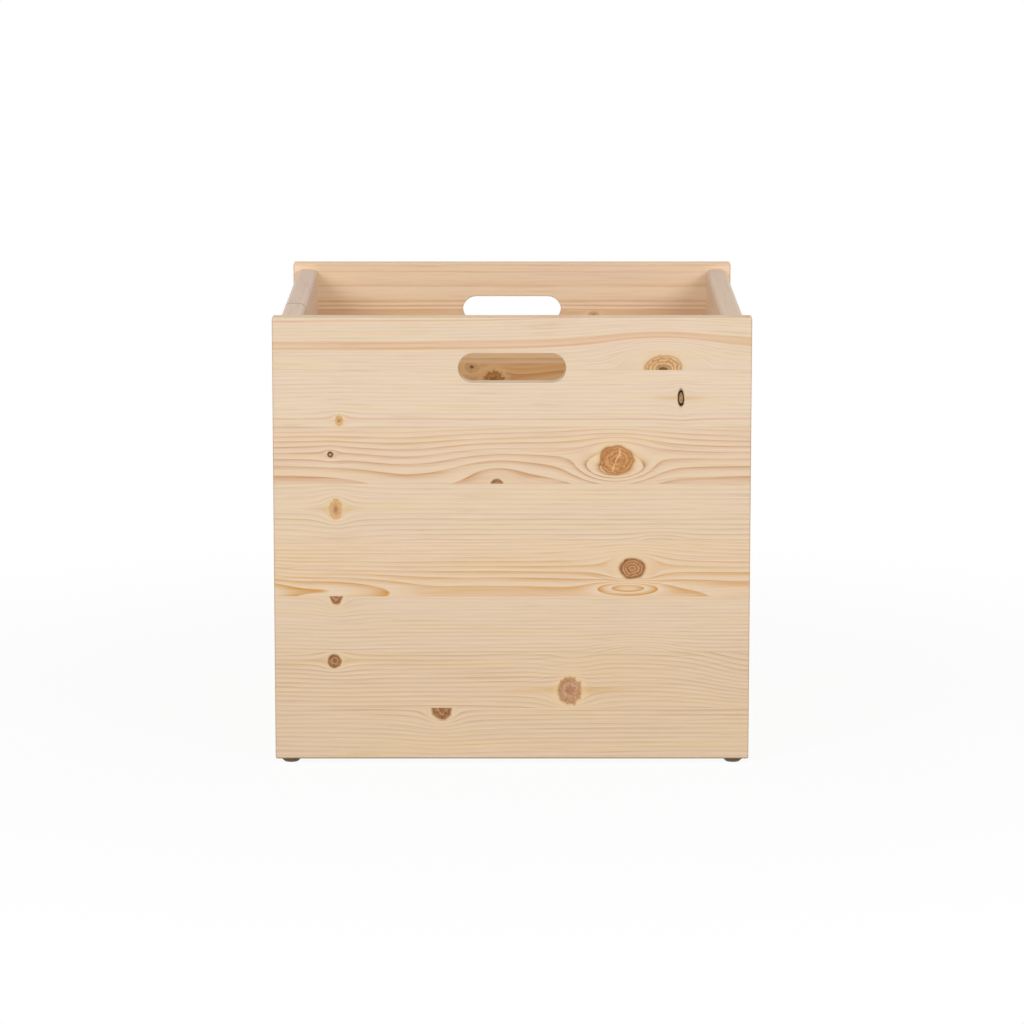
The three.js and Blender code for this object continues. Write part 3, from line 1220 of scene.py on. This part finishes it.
@dataclass(frozen=True)
class ChanceFigure:
    """The range of figures that hidden staves are drawn from.

    Attributes:
        kinds: Kinds of knot.
        pin_half_mm: Half the size of a pin knot.
        knot_half_mm: Half the size of the other knots.
        knot_reach: Share of the stave's half length within which knots lie.
        knot_shape: Height of a knot as a share of its width.
        contrast: How strongly the growth lines show.
        ring_mm: Thickness of a growth ring.
        pith_through_mm: Middle of the tree, behind the panel's front face.
        pith_drop_mm: Distance of the middle of the tree above or below the stave.
        slope: Fall of the grain.
        wave_mm: How far the grain wanders.
    """

    kinds: Tuple[KnotKind, ...] = (KnotKind.SOUND, KnotKind.PALE, KnotKind.DARK, KnotKind.PIN)
    pin_half_mm: float = 2.2
    knot_half_mm: Tuple[float, float] = (4.0, 9.5)
    knot_reach: float = 0.85
    knot_shape: Tuple[float, float] = (0.85, 1.1)
    contrast: Tuple[float, float] = (0.5, 0.9)
    ring_mm: Tuple[float, float] = (2.4, 3.6)
    pith_through_mm: Tuple[float, float] = (-60.0, 60.0)
    pith_drop_mm: Tuple[float, float] = (60.0, 140.0)
    slope: Tuple[float, float] = (-0.02, 0.02)
    wave_mm: Tuple[float, float] = (0.6, 1.6)

    def draw_knot(self, draw: random.Random, reach: float, drops: Tuple[float, float]) -> Knot:
        """Draws one knot.

        Args:
            draw: Where the chance comes from.
            reach: Half the stave's length.
            drops: The stave's upper and lower edges.

        Returns:
            The knot.
        """
        kind = draw.choice(self.kinds)
        half = self.pin_half_mm if kind is KnotKind.PIN else draw.uniform(*self.knot_half_mm)
        along = draw.uniform(-self.knot_reach, self.knot_reach) * reach
        drop = draw.uniform(*drops)
        return Knot(along, drop, half, half * draw.uniform(*self.knot_shape), kind)

    def draw(self, seed: int, node: str, reach: float, early: Rgb, most_knots: int) -> PineFigure:
        """Draws the figure of a stave.

        Args:
            seed: Picks the figure.
            node: The stave's node.
            reach: Half the stave's length.
            early: Colour of the spring wood.
            most_knots: The most knots that the stave may have.

        Returns:
            The figure.
        """
        draw = random.Random(seed)
        drops = stave_drops(node)
        knots = [self.draw_knot(draw, reach, drops) for _ in range(draw.randint(0, most_knots))]
        return PineFigure(
            seed=seed + 0.5,
            early=early,
            contrast=(draw.uniform(*self.contrast), draw.uniform(*self.contrast)),
            ring=draw.uniform(*self.ring_mm),
            pith_through=draw.uniform(*self.pith_through_mm),
            pith_drop=draw.choice((-1, 1)) * draw.uniform(*self.pith_drop_mm),
            slope=draw.uniform(*self.slope),
            wave=draw.uniform(*self.wave_mm),
            knots=tuple(knots),
        )


@dataclass
class EndPanel:
    """An end panel: staves that run across the bin, the top two sharing the hand slot.

    Attributes:
        name: Front or back.
        figures: The figures of the staves that show, from the top stave down.
        staves: How many staves the panel has.
        first_seed: Seed of the first stave's chance figure.
        tone: Colour of the spring wood in chance figures.
        most_knots: The most knots in a chance figure.
    """

    name: str
    figures: Sequence[PineFigure] = ()
    staves: int = 8
    first_seed: int = 100
    tone: Rgb = (234, 206, 172)
    most_knots: int = 3

    def nodes(self) -> List[str]:
        """Names of the staves, from the top."""
        return [f"{self.name}_stave_{index + 1}" for index in range(self.staves)]

    def figure(self, index: int, node: str) -> PineFigure:
        """Picks a stave's figure.

        Args:
            index: The stave's place from the top.
            node: The stave's node.

        Returns:
            The figure.
        """
        if index < len(self.figures):
            return self.figures[index]
        seed = self.first_seed + index
        return ChanceFigure().draw(seed, node, BIN_HALF_WIDTH_MM, self.tone, self.most_knots)

    def dress(self) -> None:
        """Gives each stave its own pine."""
        for index, node in enumerate(self.nodes()):
            pine = Pine(self.figure(index, node), GrainAxis.ACROSS, stave_drops(node))
            dress(node, pine.material(f"pine_{node}"), "pine")


@dataclass
class SidePanel:
    """A side panel: paler staves that run from front to back under a plain, round-topped rail.

    Attributes:
        staves: Node names from the top.
        first_seed: Seed of the first stave's figure.
        rail_tone: Colour of the rail's spring wood.
        splices: Middles of the rail's end joints, from the middle of the bin.
        rail_late: Colour of the rail's growth lines.
        rail_contrast: How strongly they show.
        rail_top_shade: How strongly painted shade greys the rail's top.
        tone: Colour of the other staves' spring wood.
        half_length_mm: Half the staves' length.
        most_knots: The most knots in a stave below the rail.
    """

    staves: Sequence[str]
    first_seed: int
    rail_tone: Rgb
    splices: Tuple[float, ...] = ()
    rail_late: Rgb = (196, 168, 142)
    rail_contrast: Tuple[float, float] = (0.4, 0.4)
    # strength of the painted shade on the rail's top
    rail_top_shade: float = 0.33
    tone: Rgb = (231, 206, 181)
    half_length_mm: float = 182.0
    most_knots: int = 2

    def figure(self, node: str, seed: int) -> PineFigure:
        """Draws a stave's figure; the rail has no knots.

        Args:
            node: The stave's node.
            seed: Picks the figure.

        Returns:
            The figure.
        """
        chance = ChanceFigure()
        if FIRST_STAVE not in node:
            return chance.draw(seed, node, self.half_length_mm, self.tone, self.most_knots)
        return replace(
            chance.draw(seed, node, self.half_length_mm, self.rail_tone, 0),
            late=self.rail_late,
            contrast=self.rail_contrast,
            stains=self.splices,
            top_shade=self.rail_top_shade,
        )

    def dress(self) -> None:
        """Gives each stave its own pine."""
        for index, node in enumerate(self.staves):
            figure = self.figure(node, self.first_seed + index)
            pine = Pine(figure, GrainAxis.DEEP, stave_drops(node))
            dress(node, pine.material(f"pale_pine_{node}"), "pale_pine")


@dataclass
class Joinery:
    """The pieces that hold the panels together: floor, dowels, feet and their nails.

    Attributes:
        ends: The end panels.
        sides: The side panels.
        dowels_per_corner: Dowels where a side meets an end.
    """

    ends: Tuple[str, str] = ("front", "back")
    sides: Tuple[str, str] = ("left", "right")
    dowels_per_corner: int = 3

    def corners(self) -> Iterator[str]:
        """Names of the corners."""
        for end in self.ends:
            for side in self.sides:
                yield f"{end}_{side}"

    def dress(self) -> None:
        """Gives the floor, dowels, feet and nails their finishes."""
        dress("floor_panel", Plywood().material("plywood_floor"), "plywood")
        beech = Beech().material("fluted_beech")
        plastic = MouldedPlastic().material("brown_plastic")
        steel = DrawnSteel().material("nail_steel")
        for corner in self.corners():
            for index in range(self.dowels_per_corner):
                dress(f"dowel_{corner}_{index + 1}", beech, "dowel_beech")
            dress(f"foot_{corner}", plastic, "brown_plastic")
            dress(f"foot_nail_{corner}", steel, "nail_steel")


@dataclass(frozen=True)
class Softbox:
    """A soft rectangular lamp.

    Attributes:
        name: Name of the lamp.
        at: Its place, in metres.
        size: Its width and height, in metres.
        watts: Its power.
    """

    name: str
    at: Size
    size: Tuple[float, float]
    watts: float


SOFTBOXES: Tuple[Softbox, ...] = (
    Softbox("right_softbox", (2.4, -2.7, 2.2), (1.8, 1.8), 67.5),
    Softbox("left_softbox", (-2.3, -2.8, 2.1), (1.8, 1.8), 67.5),
    Softbox("top_softbox", (0.0, -0.3, 2.6), (2.2, 2.2), 14.0),
    Softbox("rear_right_softbox", (2.4, 2.6, 0.35), (1.4, 0.6), 24.0),
    Softbox("rear_left_softbox", (-2.4, 2.6, 0.35), (1.4, 0.6), 24.0),
)


@dataclass
class Studio:
    """White studio: floor, soft lamps, world and camera.

    Attributes:
        camera_at: Place of the camera.
        look_at: The point in the middle of the picture.
        lens_mm: Focal length on a sensor of 36 mm.
        floor_radius: Half the floor's width, in metres.
        shadow_radii: Distances from the bin's middle at which the floor's shadow starts to fade and is gone.
        glow: How white the floor is under the bin; further off it is all white.
        sky: Strength of the sky's light.
    """

    camera_at: Size = (0.0, -3.949, 0.869)
    look_at: Size = (0.0, -0.2, 0.2154)
    lens_mm: float = 159.6
    floor_radius: float = 30.0
    shadow_radii: Tuple[float, float] = (0.3, 1.0)
    glow: float = 0.93
    sky: float = 0.3

    WHITE = (1.0, 1.0, 1.0, 1.0)
    MATT = (0.75, 0.75, 0.75, 1.0)

    def build(self) -> None:
        """Builds the studio."""
        self.make_floor()
        self.make_world()
        for softbox in SOFTBOXES:
            self.hang(softbox)
        self.make_camera()
        bpy.context.scene.view_settings.view_transform = "Standard"

    def make_floor(self) -> None:
        """Makes the white floor, which keeps the bin's shadow near it and is plain white further off."""
        far = self.floor_radius
        mesh = bpy.data.meshes.new("studio_floor")
        corners = [(-far, -far, 0), (far, -far, 0), (far, far, 0), (-far, far, 0)]
        mesh.from_pydata(corners, [], [(0, 1, 2, 3)])
        floor = bpy.data.objects.new("studio_floor", mesh)
        bpy.context.scene.collection.objects.link(floor)
        graph = Graph.of_material("studio_floor")
        point = graph.node("ShaderNodeTexCoord", {}, {}, "Object")
        distance = graph.node("ShaderNodeVectorMath", {"operation": "LENGTH"}, {0: point}, "Value")
        glow = graph.seen() * (self.glow + (1 - self.glow) * distance.step(*self.shadow_radii))
        matt = graph.node("ShaderNodeBsdfDiffuse", {}, {"Color": self.MATT})
        white = graph.node("ShaderNodeEmission", {}, {"Color": self.WHITE, "Strength": 1.0})
        graph.close(graph.node("ShaderNodeMixShader", {}, {0: glow, 1: matt, 2: white}))
        mesh.materials.append(graph.owner)

    def make_world(self) -> None:
        """Makes a soft white sky that the eye and mirrors see as plain white."""
        world = bpy.data.worlds.new("studio_sky")
        graph = Graph(world)
        strength = self.sky + (1 - self.sky) * graph.seen()
        sockets = {"Color": self.WHITE, "Strength": strength}
        graph.close(graph.node("ShaderNodeBackground", {}, sockets))
        bpy.context.scene.world = world

    def aim(self, thing: bpy.types.Object, at: Size) -> None:
        """Puts a lamp or camera in its place, facing the bin.

        Args:
            thing: The lamp or camera.
            at: Its place.
        """
        thing.location = at
        facing = Vector(self.look_at) - Vector(at)
        thing.rotation_euler = facing.to_track_quat("-Z", "Y").to_euler()
        bpy.context.scene.collection.objects.link(thing)

    def hang(self, softbox: Softbox) -> None:
        """Hangs a softbox.

        Args:
            softbox: The lamp's name, place, size and power.
        """
        data = bpy.data.lights.new(softbox.name, "AREA")
        data.shape = "RECTANGLE"
        data.size, data.size_y = softbox.size
        data.energy = softbox.watts
        self.aim(bpy.data.objects.new(softbox.name, data), softbox.at)

    def make_camera(self) -> None:
        """Sets the camera where the photograph was taken from."""
        data = bpy.data.cameras.new("portrait")
        data.lens = self.lens_mm
        camera = bpy.data.objects.new("portrait", data)
        self.aim(camera, self.camera_at)
        bpy.context.scene.camera = camera


def main() -> None:
    """Dresses the bin and builds the studio."""
    logging.basicConfig(level=logging.INFO, format="%(name)s: %(message)s")
    EndPanel("front", FRONT_FIGURES).dress()
    EndPanel("back", BACK_FIGURES, first_seed=200, tone=(236, 206, 169)).dress()
    left = ["left_stave_1_front_length", "left_stave_1_rear_length"]
    left += [f"left_stave_{index}" for index in range(2, 9)]
    right = [f"right_stave_{index}" for index in range(1, 9)]
    SidePanel(left, 300, (238, 212, 192), splices=(-66.0,)).dress()
    SidePanel(right, 400, (237, 210, 183)).dress()
    Joinery().dress()
    Studio().build()


if __name__ == "__main__":
    main()
